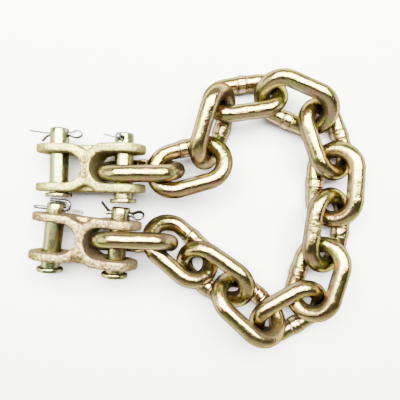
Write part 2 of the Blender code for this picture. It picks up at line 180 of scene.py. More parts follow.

# Roughness is the range of the gloss and edge the colour at a flat angle.  Speckle is the
# strength of the dark specks and grain their fineness, scale and strength are those of the
# bump, the upright painted shade is how much darker upright surfaces are painted, and
# dulling how much rougher they are.
LINK_FINISH = {
    "roughness": (0.08, 0.20), "edge": (0.10, 0.07, 0.04), "speckle": 0.35, "grain": 1200.0,
    "scale": 220.0, "strength": 0.4, "flank": 0.8, "dulling": 0.18,
}
FORGING_FINISH = {
    "roughness": (0.34, 0.48), "edge": (0.3, 0.24, 0.13), "grain": 650.0,
    "scale": 600.0, "strength": 0.9, "flank": 0.6, "dulling": 0.15,
}
PIN_FINISH = {
    "roughness": (0.12, 0.24), "edge": (0.15, 0.12, 0.07), "speckle": 0.4, "grain": 1400.0,
    "scale": 700.0, "strength": 0.2, "flank": 0.7, "dulling": 0.1,
}
PIN_TINTS = ((0.23, 0.30, 0.15), (0.33, 0.24, 0.11))

# Shade is painted on a surface when its normal's Z is below the limit, most of all when it
# is well above the floor.
PAINTED_SHADE_NORMAL_LIMIT = 0.80
PAINTED_SHADE_NORMAL_SPAN = 0.36
PAINTED_SHADE_FROM = 0.004
PAINTED_SHADE_SPAN = 0.008

# The clevis body: half its waist, the notch in each side, the flange in the notch and
# the room round a pin.
OVERSHOOT = 0.001
INNER_BOSS = 0.0122
BOSS_SLOPE = 0.0004
NOTCH_DEPTH = 0.0038
NOTCH_REACH = 0.0080
NOTCH_SHOULDER = 0.0062
NOTCH_FLOOR = 0.0022
WAIST_HALF = 0.0098
FLANGE_DEPTH = 0.0048
FLANGE_REACH = 0.0088
FLANGE_HEIGHT = 0.009
HOLE_RADIUS = PIN_RADIUS + 0.0003

# Each clevis's finish, and the marks on its web: place from the middle, size and kind.
CLEVIS_LOOKS = {
    "upper": {
        "slot": "pale_forging", "speckle": 0.75,
        "tints": ((0.28, 0.32, 0.10), (0.36, 0.29, 0.12)),
        "marks": (
            (0.0, -0.0044, 0.0014, "ring"), (0.0, -0.0004, 0.0009, "bar"),
            (0.0, 0.0036, 0.0014, "ring"),
        ),
    },
    "lower": {
        "slot": "rosy_forging", "speckle": 1.0,
        "tints": ((0.33, 0.29, 0.11), (0.29, 0.16, 0.125)),
        "marks": ((-0.001, 0.0086, 0.0012, "ring"), (0.002, 0.0084, 0.0009, "bar")),
    },
}
MARK_HALF_WIDTH = 0.00065
MARK_EDGE = 0.0007
MARK_EDGE_FADE = 0.0004
WEB_TOP_FROM = 0.006

# The headed pins and the half-round strands of the split pins.
HEAD_CENTRE = 0.0012
CORNER = 0.0002
CROSS_HOLE_RADIUS = 0.0017
STRAND_RADIUS = 0.00112
STRAND_SHIFT = -0.0005
STRAND_FROM_AXIS = 0.0006
EYE_NECK = 0.0012
MOUTH = PIN_RADIUS + 0.001
MILLIMETRE = 0.001

# Lights: place, the place they point at, width and height, and colour.
WARM = (1.0, 0.95, 0.74)
WHITE = (1.0, 1.0, 1.0)
LIGHTS = {
    "key": ((0.04, 0.31, 0.62), (0.04, 0.3101, 0.0), (1.04, 0.52), WARM),
    "side": ((-0.7, 0.0, 0.42), (0.0, 0.0, 0.0), (0.5, 0.5), WARM),
    "strip": ((0.9, 0.0, 0.14), (0.0, 0.0, 0.02), (0.7, 0.14), WHITE),
}
# The room's colour, and where along Z or Y of the view its brighter parts fade in.
ROOM_COLOUR = (1.0, 0.90, 0.91, 1.0)
RIM_FADE = (0.5, 0.05)
FRONT_FADE = (-0.45, -0.8)
GLOW_FADE = (-0.12, 0.3)
FLOOR_HALF = 1.5
SENSOR_WIDTH = 36.0
CLIP_START = 0.005


class Bench:
    """Adds nodes to a tree and joins them up."""

    def __init__(self, tree):
        self.tree = tree

    def add(self, kind, inputs=None, **settings):
        """A new node; inputs takes sockets to join and plain values."""
        node = self.tree.nodes.new(kind)
        for name, value in settings.items():
            setattr(node, name, value)
        for key, value in (inputs or {}).items():
            if isinstance(value, bpy.types.NodeSocket):
                self.tree.links.new(value, node.inputs[key])
            else:
                node.inputs[key].default_value = value
        return node

    def maths(self, operation, *values):
        """The result of a Math node on sockets or numbers."""
        node = self.add("ShaderNodeMath", dict(enumerate(values)), operation=operation)
        return node.outputs[0]

    def times(self, first, second):
        """The product of two sockets or numbers."""
        return self.maths("MULTIPLY", first, second)

    def step(self, value, start, stop):
        """A smooth step from 0 at start to 1 at stop."""
        inputs = {0: value, 1: start, 2: stop}
        return self.add("ShaderNodeMapRange", inputs, interpolation_type="SMOOTHSTEP").outputs[0]

    def rescale(self, value, source, target):
        """A value carried over from one range to another and kept inside it."""
        inputs = {0: value, 1: source[0], 2: source[1], 3: target[0], 4: target[1]}
        return self.add("ShaderNodeMapRange", inputs).outputs[0]

    def noise(self, place, scale, detail, roughness=0.5):
        """The value of a Noise Texture."""
        inputs = {"Vector": place, "Scale": scale, "Detail": detail, "Roughness": roughness}
        return self.add("ShaderNodeTexNoise", inputs).outputs[0]

    def seeded_noise(self, place, seed, scale, detail):
        """The value of a Noise Texture that differs from seed to seed."""
        inputs = {"Vector": place, "W": seed, "Scale": scale, "Detail": detail}
        return self.add("ShaderNodeTexNoise", inputs, noise_dimensions="4D").outputs[0]

    def patches(self, place, pattern, roughness=0.5):
        """A noise pattern that fades in from 0 to 1."""
        scale, detail, start, stop = pattern
        return self.step(self.noise(place, scale, detail, roughness), start, stop)

    def seeded_patches(self, place, seed, pattern):
        """A noise pattern that fades in from 0 to 1 and differs from seed to seed."""
        scale, detail, start, stop = pattern
        return self.step(self.seeded_noise(place, seed, scale, detail), start, stop)

    def attribute(self, name, output="Fac"):
        """A named attribute of the mesh, read by a material."""
        return self.add("ShaderNodeAttribute", attribute_name=name).outputs[output]

    def store(self, geometry, name, value, data_type):
        """The geometry with a field kept on its points as a named attribute."""
        inputs = {"Geometry": geometry, "Name": name, "Value": value}
        node = self.add(
            "GeometryNodeStoreNamedAttribute", inputs, data_type=data_type, domain="POINT",
        )
        return node.outputs[0]

    def blend(self, factor, first, second):
        """A mix of two colours, each a socket or three numbers."""
        colours = [
            value if isinstance(value, bpy.types.NodeSocket) else (*value, 1.0)
            for value in (first, second)
        ]
        inputs = {0: factor, 6: colours[0], 7: colours[1]}
        return self.add("ShaderNodeMix", inputs, data_type="RGBA").outputs[2]


def geometry_tree(name, inputs):
    """An empty Geometry Nodes tree with these named inputs, and its bench and inputs."""
    tree = bpy.data.node_groups.new(name, "GeometryNodeTree")
    tree.is_modifier = True
    tree.interface.new_socket("Geometry", in_out="OUTPUT", socket_type="NodeSocketGeometry")
    for title, kind, text in inputs:
        socket = tree.interface.new_socket(title, in_out="INPUT", socket_type=kind)
        socket.description = text
    bench = Bench(tree)
    return tree, bench, bench.add("NodeGroupInput").outputs


LINK_INPUTS = (
    ("Inner Length", "NodeSocketFloat", "Length of the hole"),
    ("Inner Width", "NodeSocketFloat", "Width of the hole"),
    ("Wire Diameter", "NodeSocketFloat", "Thickness of the round wire"),
    ("Collar Length", "NodeSocketFloat", "Length of the raised weld collar"),
    ("Collar Rise", "NodeSocketFloat", "How far the collar stands out of the wire"),
    ("Seam Depth", "NodeSocketFloat", "Depth of the cut seams on both sides of the weld"),
    ("Flash", "NodeSocketFloat", "How lumpy the trimmed weld flash is"),
    ("Waviness", "NodeSocketFloat", "How far the bent wire strays from a true round"),
    ("Scar", "NodeSocketFloat", "Depth of the rough patch on the leg without the weld"),
    ("Points", "NodeSocketInt", "Points along the wire"),
    ("Sides", "NodeSocketInt", "Points around the wire"),
    ("Seed", "NodeSocketFloat", "Picks this link's own lumps and waves"),
    ("Place", "NodeSocketVector", "Where the link's middle is"),
    ("Turn", "NodeSocketVector", "How the link is turned"),
    ("Metal", "NodeSocketMaterial", "Finish of the link"),
)


def bent_wire(bench, given):
    """Round wire bent round a hole as long and as wide as given."""
    radius = bench.times(given["Wire Diameter"], 0.5)
    crown = bench.maths("MULTIPLY_ADD", given["Inner Width"], 0.5, radius)
    leg = bench.maths("SUBTRACT", given["Inner Length"], given["Inner Width"])
    circle = bench.add(
        "GeometryNodeCurvePrimitiveCircle", {"Resolution": BEND_POINTS, "Radius": crown},
    )
    spot = bench.add("GeometryNodeInputPosition").outputs[0]
    side = bench.maths("SIGN", bench.add("ShaderNodeSeparateXYZ", {0: spot}).outputs["X"])
    shift = bench.add("ShaderNodeCombineXYZ", {"X": bench.times(side, bench.times(leg, 0.5))})
    path = bench.add(
        "GeometryNodeSetPosition", {"Geometry": circle.outputs["Curve"], "Offset": shift.outputs[0]},
    )
    even = bench.add(
        "GeometryNodeResampleCurve", {"Curve": path.outputs[0], "Count": given["Points"]},
        mode="COUNT",
    )
    section = bench.add(
        "GeometryNodeCurvePrimitiveCircle", {"Resolution": given["Sides"], "Radius": radius},
    )
    sweep = {"Curve": even.outputs[0], "Profile Curve": section.outputs["Curve"]}
    return bench.add("GeometryNodeCurveToMesh", sweep).outputs[0]


def weld_fields(bench, given, spot):
    """Where the collar, the thickened wire, the seams and the rough patch are, 0 to 1."""
    parts = bench.add("ShaderNodeSeparateXYZ", {0: spot}).outputs
    from_weld = bench.maths("ABSOLUTE", parts["X"])
    weld_leg = bench.maths("LESS_THAN", parts["Y"], WELD_LEG_LIMIT)
    half = bench.times(given["Collar Length"], 0.5)
    collar_end = bench.maths("ADD", half, COLLAR_FADE)
    collar = bench.times(bench.step(from_weld, collar_end, half), weld_leg)
    upset = bench.times(bench.step(from_weld, *UPSET_FADE), weld_leg)
    seam_place = bench.maths("ADD", half, -SEAM_INSET)
    from_seam = bench.maths("ABSOLUTE", bench.maths("SUBTRACT", from_weld, seam_place))
    seam = bench.times(bench.step(from_seam, *SEAM_FADE), weld_leg)
    plain_leg = bench.maths("SUBTRACT", 1.0, weld_leg)
    scar = bench.times(bench.step(from_weld, *SCAR_FADE), plain_leg)
    scar = bench.times(scar, bench.step(parts["Z"], *SCAR_HEIGHT_FADE))
    return collar, upset, seam, scar


def outward_rise(bench, given, spot, fields):
    """How far the wire's surface moves outwards: collar, seams, pits and slow waves."""
    collar, upset, seam, scar = fields
    lumps = bench.times(bench.seeded_patches(spot, given["Seed"], FLASH_LUMPS), given["Flash"])
    rise = bench.times(collar, bench.maths("SUBTRACT", given["Collar Rise"], lumps))
    rise = bench.maths("MULTIPLY_ADD", upset, UPSET_RISE, rise)
    rise = bench.maths("SUBTRACT", rise, bench.times(seam, given["Seam Depth"]))
    pits = bench.times(scar, bench.seeded_patches(spot, given["Seed"], SCAR_PITS))
    rise = bench.maths("SUBTRACT", rise, bench.times(pits, given["Scar"]))
    waves = bench.seeded_noise(spot, given["Seed"], *WAVES)
    wave = bench.times(bench.maths("SUBTRACT", waves, WAVE_LEVEL), given["Waviness"])
    return bench.maths("ADD", rise, wave)


def link_tree():
    """The tree that makes one welded link, its weld on the local -Y leg."""
    tree, bench, given = geometry_tree("Welded link", LINK_INPUTS)
    wire = bent_wire(bench, given)
    spot = bench.add("GeometryNodeInputPosition").outputs[0]
    fields = weld_fields(bench, given, spot)
    collar, _, seam, scar = fields
    push = {
        0: bench.add("GeometryNodeInputNormal").outputs[0],
        "Scale": outward_rise(bench, given, spot, fields),
    }
    offset = bench.add("ShaderNodeVectorMath", push, operation="SCALE").outputs[0]
    link = bench.add("GeometryNodeSetPosition", {"Geometry": wire, "Offset": offset}).outputs[0]
    rough = bench.times(scar, bench.times(given["Scar"], 1 / FULL_SCAR))
    for title, value in (("weld", collar), ("seam", seam), ("scar", rough)):
        link = bench.store(link, title, value, "FLOAT")
    link = bench.store(link, "drawn", spot, "FLOAT_VECTOR")
    link = bench.add("GeometryNodeSetShadeSmooth", {"Geometry": link}).outputs[0]
    placing = {"Geometry": link, "Translation": given["Place"], "Rotation": given["Turn"]}
    link = bench.add("GeometryNodeTransform", placing).outputs[0]
    coating = {"Geometry": link, "Material": given["Metal"]}
    link = bench.add("GeometryNodeSetMaterial", coating).outputs[0]
    link = bench.add("GeometryNodeRealizeInstances", {"Geometry": link}).outputs[0]
    bench.add("NodeGroupOutput", {"Geometry": link})
    return tree


def grown(name, tree, values):
    """A plain mesh object made by a Geometry Nodes tree with these inputs."""
    source = bpy.data.objects.new(name + "_source", bpy.data.meshes.new(name + "_source"))
    bpy.context.scene.collection.objects.link(source)
    modifier = source.modifiers.new("grow", "NODES")
    modifier.node_group = tree
    for socket in tree.interface.items_tree:
        if socket.in_out == "INPUT":
            modifier[socket.identifier] = values[socket.name]
    bpy.context.view_layer.update()
    graph = bpy.context.evaluated_depsgraph_get()
    mesh = bpy.data.meshes.new_from_object(source.evaluated_get(graph), depsgraph=graph)
    source.modifiers.remove(modifier)
    bpy.data.objects.remove(source, do_unlink=True)
    return show(name, mesh)


def show(name, mesh):
    """A mesh as an object at the origin."""
    mesh.name = name
    obj = bpy.data.objects.new(name, mesh)
    bpy.context.scene.collection.objects.link(obj)
    return obj


def point_rows(mesh, name):
    """The places ("co") or the normals ("normal") of a mesh's points, a row for each."""
    rows = np.zeros(len(mesh.vertices) * 3)
    mesh.vertices.foreach_get(name, rows)
    return rows.reshape(-1, 3)


def move_points(mesh, places):
    """Put a mesh's points at these places."""
    mesh.vertices.foreach_set("co", places.ravel())
    mesh.update()


def keep_values(mesh, name, values):
    """Store a number for each point as a named attribute."""
    mesh.attributes.new(name, "FLOAT", "POINT").data.foreach_set("value", values)


def smooth_step(values):
    """Numbers clipped to 0 to 1, with a soft start and end."""
    inside = np.clip(values, 0.0, 1.0)
    return inside * inside * (3 - 2 * inside)


def register_piece(obj, node, body):
    """Keep a piece in the solids' box, hang it on its body and hide the CAD node it stands for.

    The materials paint shade on upright surfaces: an attribute is stored that is high
    where the surface stands upright, and stronger well above the floor.
    """
    mesh = obj.data
    places = np.clip(point_rows(mesh, "co"), CAD_BOX[0], CAD_BOX[1])
    move_points(mesh, places)
    # Mask of the painted shade: high on upright surfaces, half as strong near the floor.
    upright_part = (PAINTED_SHADE_NORMAL_LIMIT - np.abs(point_rows(mesh, "normal")[:, 2])) / PAINTED_SHADE_NORMAL_SPAN
    painted_shade_height_share = 0.5 + 0.5 * np.clip((places[:, 2] - PAINTED_SHADE_FROM) / PAINTED_SHADE_SPAN, 0.0, 1.0)
    keep_values(mesh, "flank", smooth_step(upright_part) * painted_shade_height_share)
    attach(obj, body)
    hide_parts(node)


def node_points(node):
    """The different vertex places of a CAD node."""
    places = np.array([vertex.co for vertex in frame["nodes"][node].data.vertices])
    return np.unique(np.round(places, 6), axis=0)


def link_frame(node):
    """The place of a CAD link: X along it, Z square to it and up, the weld on -Y."""
    points = node_points(node)
    middle = points.mean(axis=0)
    square, across, along = np.linalg.eigh(np.cov((points - middle).T))[1].T
    if square[2] < 0:
        square = -square
    off = (points - middle) @ np.array((square, across, along)).T
    height = (off[:, 0].max() + off[:, 0].min()) / 2
    length = (off[:, 2].max() + off[:, 2].min()) / 2
    on_collar = np.abs(off[:, 0] - height) > WIRE_DIAMETER / 2 + WELD_RISE / 2
    width = off[:, 1]
    if width[on_collar].mean() > width.mean():
        across = -across
        width = -width
    half_width = LINK_INNER_WIDTH / 2 + WIRE_DIAMETER
    middle = middle + square * height + along * length
    middle = middle + across * (width.max() - half_width)
    along = np.cross(across, square)
    matrix = Matrix(np.array((along, across, square)).T.tolist()).to_4x4()
    matrix.translation = middle
    return matrix


def clevis_frame(side):
    """The place of a clevis: at its inner pin, X towards its outer pin, the heads on +Y."""
    joint = next(j for j in frame["joints"] if j["name"] == side + "_clevis_swing")
    origin = Vector(joint["pos_m"])
    across = -Vector(joint["axis"]).normalized()
    outer = Vector(node_points(side + "_outer_pin").mean(axis=0)) - origin
    along = (outer - across * outer.dot(across)).normalized()
    matrix = Matrix((along, across, along.cross(across))).transposed().to_4x4()
    matrix.translation = origin
    return matrix


def pin_frame(side, which):
    """The place of a headed pin: the seat of its head at the origin, its shank on +Y."""
    clevis = clevis_frame(side)
    points = node_points("_".join((side, which, "pin")))
    across = clevis.col[1].to_3d()
    head_end = max((Vector(point) - clevis.translation).dot(across) for point in points)
    seat = Matrix.Translation((FORKS[which], head_end - HEAD_THICKNESS, 0.0))
    roll = Matrix.Rotation(math.radians(SPLIT_PINS[side, which]["roll"]), 4, "Y")
    return clevis @ seat @ Matrix.Rotation(math.pi, 4, "Z") @ roll


def closed_mesh(name, bm):
    """A bmesh as a mesh with doubles merged and faces that point outwards."""
    bmesh.ops.remove_doubles(bm, verts=bm.verts, dist=1e-7)
    bmesh.ops.recalc_face_normals(bm, faces=bm.faces)
    mesh = bpy.data.meshes.new(name)
    bm.to_mesh(mesh)
    bm.free()
    return mesh


def join_rings(bm, rings):
    """Faces between each ring of points and the next, and over both ends."""
    size = len(rings[0])
    for ring, following in zip(rings, rings[1:]):
        for k in range(size):
            after = (k + 1) % size
            bm.faces.new((ring[k], ring[after], following[after], following[k]))
    bm.faces.new(rings[0])
    bm.faces.new(rings[-1])


def lathe(name, profile, sides):
    """Turn a profile of (radius, place) points about the Y axis and cap its ends."""
    bm = bmesh.new()
    turns = [math.tau * k / sides for k in range(sides)]
    rings = [
        [bm.verts.new((radius * math.cos(a), y, radius * math.sin(a))) for a in turns]
        for radius, y in profile
    ]
    join_rings(bm, rings)
    return closed_mesh(name, bm)


def prism(name, outline, depth, lift):
    """Extrude an outline by depth, half to each side; lift turns (a, b, c) to a place."""
    bm = bmesh.new()
    rings = [
        [bm.verts.new(lift(a, b, level)) for a, b in outline] for level in (-depth / 2, depth / 2)
    ]
    join_rings(bm, rings)
    return closed_mesh(name, bm)


def worked(name, base, steps):
    """The mesh left after modifiers: Booleans by (operation, mesh), others by settings."""
    main = bpy.data.objects.new(name, base)
    bpy.context.scene.collection.objects.link(main)
    helpers = [main]
    for kind, value in steps:
        if kind in ("UNION", "DIFFERENCE", "INTERSECT"):
            helper = bpy.data.objects.new(name + "_tool", value)
            bpy.context.scene.collection.objects.link(helper)
            helpers.append(helper)
            modifier = main.modifiers.new(kind, "BOOLEAN")
            modifier.operation = kind
            modifier.solver = "EXACT"
            modifier.object = helper
            continue
        modifier = main.modifiers.new(kind, kind)
        for key, setting in value.items():
            setattr(modifier, key, setting)
    bpy.context.view_layer.update()
    graph = bpy.context.evaluated_depsgraph_get()
    mesh = bpy.data.meshes.new_from_object(main.evaluated_get(graph), depsgraph=graph)
    for helper in helpers:
        bpy.data.objects.remove(helper, do_unlink=True)
    return mesh


def arc(centre, radius, start, stop, steps):
    """Points along an arc, angles in degrees."""
    points = []
    for k in range(steps + 1):
        angle = math.radians(start + (stop - start) * k / steps)
        points.append((centre[0] + radius * math.cos(angle), centre[1] + radius * math.sin(angle)))
    return points


def cut_corners(points, rounds):
    """Cut the corners of an open path again and again, keeping its two ends."""
    for _ in range(rounds):
        cut = []
        for first, second in zip(points, points[1:]):
            cut.append(first * 0.75 + second * 0.25)
            cut.append(first * 0.25 + second * 0.75)
        points = [points[0]] + cut + [points[-1]]
    return points


LENGTH = {"min": 0.0, "unit": "LENGTH", "subtype": "DISTANCE"}
TINT = {"size": 3, "min": 0.0, "max": 1.0, "subtype": "COLOR"}


class ChainLinkSettings(bpy.types.PropertyGroup):
    """Sizes and colours of the welded links."""

    collar_length: FloatProperty(
        name="Weld Collar Length", description="Length of the raised collar round the weld",
        default=0.0060, **LENGTH,
    )
    collar_rise: FloatProperty(
        name="Weld Collar Rise", description="How far the weld collar stands out of the wire",
        default=WELD_RISE, **LENGTH,
    )
    seam_depth: FloatProperty(
        name="Seam Depth", description="Depth of the two seams that the flash trimmer cuts",
        default=0.00045, **LENGTH,
    )
    flash: FloatProperty(
        name="Weld Flash", description="How lumpy the trimmed weld flash is",
        default=0.00012, **LENGTH,
    )
    waviness: FloatProperty(
        name="Wire Waviness", description="How far the bent wire strays from a true round",
        default=0.00015, **LENGTH,
    )
    scar: FloatProperty(
        name="Rough Patch", description="Depth of the rough patch on the one badly marked link",
        default=FULL_SCAR, **LENGTH,
    )
    points: IntProperty(
        name="Points Along", description="Points along the wire of one link", default=420, min=24,
    )
    sides: IntProperty(
        name="Points Around", description="Points around the wire", default=36, min=8,
    )
    gold: FloatVectorProperty(
        name="Gold", description="Main tint of the plating on the links",
        default=(0.29, 0.245, 0.10), **TINT,
    )
    green: FloatVectorProperty(
        name="Green Tint", description="Tint of the greener patches on the links",
        default=(0.26, 0.28, 0.09), **TINT,
    )
    rose: FloatVectorProperty(
        name="Rose Tint", description="Tint of the rosier patches on the links",
        default=(0.33, 0.20, 0.125), **TINT,
    )


class ClevisSettings(bpy.types.PropertyGroup):
    """Sizes and colours of the two forged clevis bodies."""

    web_half: FloatProperty(
        name="Half Web", description="Half the thickness of the web between the two forks",
        default=0.0025, **LENGTH,
    )
    boss_step: FloatProperty(
        name="Boss Step", description="How far the inner ears stand out past the rest",
        default=0.00035, **LENGTH,
    )
    grain: FloatProperty(
        name="Forging Grain", description="Size of the facets of the forged surface",
        default=0.0004, min=0.0002, unit="LENGTH", subtype="DISTANCE",
    )
    mark_rise: FloatProperty(
        name="Mark Rise", description="How far the plain rings and bars stand out of the web",
        default=0.0005, **LENGTH,
    )
    pale: FloatVectorProperty(
        name="Pale Gold", description="Main tint of the upper clevis",
        default=(0.34, 0.33, 0.12), **TINT,
    )
    rosy: FloatVectorProperty(
        name="Rosy Gold", description="Main tint of the lower clevis",
        default=(0.29, 0.23, 0.115), **TINT,
    )


class PinSettings(bpy.types.PropertyGroup):
    """Sizes and colour of the headed pins and the split pins."""

    rim_round: FloatProperty(
        name="Rim Rounding", description="Radius of the rounded rim of a pin's head",
        default=0.0006, **LENGTH,
    )
    end_chamfer: FloatProperty(
        name="End Chamfer", description="Chamfer on the free end of a headed pin",
        default=0.0008, **LENGTH,
    )
    plating: FloatVectorProperty(
        name="Pin Plating", description="Main tint of the headed pins",
        default=(0.32, 0.30, 0.135), **TINT,
    )
    zinc: FloatVectorProperty(
        name="Bright Zinc", description="Colour of the split pins",
        default=(0.13, 0.135, 0.16), **TINT,
    )


class StageSettings(bpy.types.PropertyGroup):
    """Floor, camera and lights."""

    camera_place: FloatVectorProperty(
        name="Camera Place", description="Where the camera stands, looking straight down",
        default=(0.0031, 0.0051, 0.233), size=3, unit="LENGTH", subtype="TRANSLATION",
    )
    lens: FloatProperty(
        name="Lens", description="Focal length in millimetres on a 36 mm wide sensor",
        default=34.2, min=1.0,
    )
    floor_colour: FloatVectorProperty(
        name="Floor Colour", description="Colour of the pale paper under the chain",
        default=(0.56, 0.59, 0.71), **TINT,
    )
    key_power: FloatProperty(
        name="Key Power", description="Power of the big soft light above the far side, in watts",
        default=124.0, min=0.0,
    )
    side_power: FloatProperty(
        name="Side Power", description="Power of the soft light on the left, in watts",
        default=5.0, min=0.0,
    )
    strip_power: FloatProperty(
        name="Strip Power", description="Power of the low strip light on the right, in watts",
        default=1.6, min=0.0,
    )
    overhead: FloatProperty(
        name="Overhead", description="Brightness of the whole room, also straight above",
        default=0.20, min=0.0,
    )
    glow: FloatProperty(
        name="Glow", description="Extra brightness of the far half of the room",
        default=0.6, min=0.0,
    )
    front: FloatProperty(
        name="Front", description="Extra brightness of the room low on the near side",
        default=1.3, min=0.0,
    )
    rim: FloatProperty(
        name="Rim", description="Extra brightness of the room near the horizon",
        default=0.7, min=0.0,
    )


def metal_material(name):
    """A new metal: the material, its bench, its shader and its Object coordinates."""
    material = bpy.data.materials.new(name)
    material.use_nodes = True
    bench = Bench(material.node_tree)
    shader = material.node_tree.nodes["Principled BSDF"]
    shader.inputs["Metallic"].default_value = 1.0
    return material, bench, shader, bench.add("ShaderNodeTexCoord").outputs["Object"]


def join_surface(bench, shader, colour, gloss, bump):
    """Join a colour, a roughness and the inputs of a bump to a shader."""
    normal = bench.add("ShaderNodeBump", bump).outputs[0]
    for name, socket in (("Base Color", colour), ("Roughness", gloss), ("Normal", normal)):
        bench.tree.links.new(socket, shader.inputs[name])


def weld_stains(bench, place, colour, gloss):
    """The colour and gloss with a stained collar, dirty seams and a dirty rough patch."""
    weld, seam, scar = (bench.attribute(title) for title in ("weld", "seam", "scar"))
    stain = bench.times(weld, bench.patches(place, WELD_STAIN))
    colour = bench.blend(bench.times(stain, STAIN_SHARE), colour, STAIN_COLOUR)
    dirt = bench.times(scar, bench.patches(place, SCAR_DIRT))
    dirt = bench.maths("MAXIMUM", dirt, bench.times(seam, SEAM_DIRT_SHARE))
    colour = bench.blend(dirt, colour, DIRT_COLOUR)
    return colour, bench.maths("MULTIPLY_ADD", scar, SCAR_DULLING, gloss)


def plated_metal(name, tints, finish, with_weld=False):
    """Yellow-passivated zinc: three tints in soft patches over a slightly pitted base."""
    material, bench, shader, place = metal_material(name)
    shader.inputs["Specular Tint"].default_value = (*finish["edge"], 1.0)
    base, second, third = tints
    colour = bench.blend(bench.patches(place, SECOND_TINT), base, second)
    colour = bench.blend(bench.patches(place, THIRD_TINT), colour, third)
    specks = bench.patches(place, (finish["grain"], 3.0, 0.42, 0.62), roughness=0.65)
    dark = tuple(SPECK_SHADE * value for value in base)
    colour = bench.blend(bench.times(specks, finish["speckle"]), colour, dark)
    gloss = bench.rescale(bench.noise(place, *POLISH), (0.3, 0.7), finish["roughness"])
    if with_weld:
        colour, gloss = weld_stains(bench, place, colour, gloss)
    # Painted shade along the sides of the raised marks on the clevis webs.
    mark = bench.attribute("mark")
    colour = bench.blend(bench.times(mark, MARK_PAINTED_SHADE_SHARE), colour, MARK_PAINTED_SHADE_COLOUR)
    # Painted shade: upright surfaces get a darker colour, and are made rougher too.
    flank = bench.attribute("flank")
    colour = bench.blend(bench.times(flank, finish["flank"]), colour, PAINTED_SHADE_COLOUR)
    gloss = bench.maths("MULTIPLY_ADD", flank, finish["dulling"], gloss)
    coarse = bench.noise(place, finish["scale"], 4.0, 0.55)
    fine = bench.noise(place, finish["scale"] * 5, 2.0)
    height = bench.maths("MULTIPLY_ADD", fine, FINE_SHARE, coarse)
    if with_weld:
        stretched = {0: bench.attribute("drawn", "Vector"), 1: STREAK_STRETCH}
        along = bench.add("ShaderNodeVectorMath", stretched, operation="MULTIPLY").outputs[0]
        streaks = bench.noise(along, *STREAKS)
        height = bench.maths("MULTIPLY_ADD", streaks, STREAK_SHARE, height)
    bump = {"Height": height, "Strength": finish["strength"], "Distance": BUMP_DEPTH}
    join_surface(bench, shader, colour, gloss, bump)
    return material


def zinc_metal(name, base):
    """Bright zinc wire, duller in patches, with shade painted on upright surfaces."""
    material, bench, shader, place = metal_material(name)
    dull = tuple(ZINC_SHADE * value for value in base)
    patches = bench.times(bench.patches(place, ZINC_PATCHES), ZINC_SHARE)
    colour = bench.blend(patches, base, dull)
    # Painted shade on upright surfaces.
    flank = bench.times(bench.attribute("flank"), ZINC_SHARE)
    colour = bench.blend(flank, colour, ZINC_PAINTED_SHADE_COLOUR)
    gloss = bench.rescale(bench.noise(place, *ZINC_POLISH), (0.0, 1.0), (0.12, 0.42))
    bump = {"Height": bench.noise(place, *ZINC_GRAIN), **ZINC_BUMP}
    join_surface(bench, shader, colour, gloss, bump)
    return material


class CHAIN_OT_links(bpy.types.Operator):
    """Make the fourteen welded links"""

    bl_idname = "clevis_chain.links"
    bl_label = "Chain Links"

    def execute(self, context):
        """Grow one link on the place of every CAD link."""
        wanted = context.scene.chain_links
        tints = (wanted.gold, wanted.green, wanted.rose)
        metal = plated_metal("Chromated link steel", tints, LINK_FINISH, with_weld=True)
        tree = link_tree()
        for number in range(1, LINK_COUNT + 1):
            node = "chain_link_%02d" % number
            place = link_frame(node)
            values = {
                "Inner Length": LINK_INNER_LENGTH,
                "Inner Width": LINK_INNER_WIDTH,
                "Wire Diameter": WIRE_DIAMETER,
                "Collar Length": wanted.collar_length,
                "Collar Rise": wanted.collar_rise,
                "Seam Depth": wanted.seam_depth,
                "Flash": wanted.flash,
                "Waviness": wanted.waviness,
                "Scar": wanted.scar if number == ROUGH_LINK else 0.0,
                "Points": wanted.points,
                "Sides": wanted.sides,
                "Seed": SEED_STEP * number,
                "Place": place.translation,
                "Turn": place.to_euler(),
                "Metal": metal,
            }
            obj = grown("link_%02d" % number, tree, values)
            register_piece(obj, node, LINK_BODY)
        return {"FINISHED"}


def clevis_plan(web_half, step):
    """The clevis from above, its inner pin at x = 0: two forks and a notch on each side."""
    half = CLEVIS_WIDTH / 2
    slim = half - step
    inner = FORK_GAP / 2
    near = -EYE_RADIUS - OVERSHOOT
    far = PIN_SPACING + EYE_RADIUS + OVERSHOOT
    centre = PIN_SPACING / 2
    bottom = half - NOTCH_DEPTH
    half_notch = (
        (NOTCH_REACH, slim), (NOTCH_SHOULDER, slim - 0.0004), (NOTCH_FLOOR, bottom + 0.0006),
    )
    notch = [Vector((centre - x, y)) for x, y in half_notch]
    notch += [Vector((centre, bottom - 0.0003))]
    notch += [Vector((centre + x, y)) for x, y in reversed(half_notch)]
    outer_edge = [(near, half), (INNER_BOSS, half), (INNER_BOSS + BOSS_SLOPE, slim)]
    outer_edge += [tuple(point) for point in cut_corners(notch, 2)]
    outer_edge += [(far, slim)]
    points = [(near, inner)] + outer_edge + [(far, inner)]
    points += arc((centre + web_half + inner, 0.0), inner, 90, 270, 32)
    points += [(far, -inner)]
    points += [(a, -b) for a, b in reversed(outer_edge)]
    points += [(near, -inner)]
    points += arc((centre - web_half - inner, 0.0), inner, -90, 90, 32)
    return points


def clevis_side():
    """The clevis from the side: a round eye at each pin and a lower waist."""
    lean = math.degrees(math.asin((EYE_RADIUS - WAIST_HALF) / (PIN_SPACING / 2))) * 2
    points = arc((PIN_SPACING, 0.0), EYE_RADIUS, -90 - lean, 90 + lean, 72)
    points.append((PIN_SPACING / 2, WAIST_HALF))
    points += arc((0.0, 0.0), EYE_RADIUS, 90 - lean, 270 + lean, 72)
    points.append((PIN_SPACING / 2, -WAIST_HALF))
    return points


def flat(a, b, c):
    """The place of a point of an outline that is seen from above."""
    return (a, b, c)


def upright(a, b, c):
    """The place of a point of an outline that is seen from the side."""
    return (a, c, b)


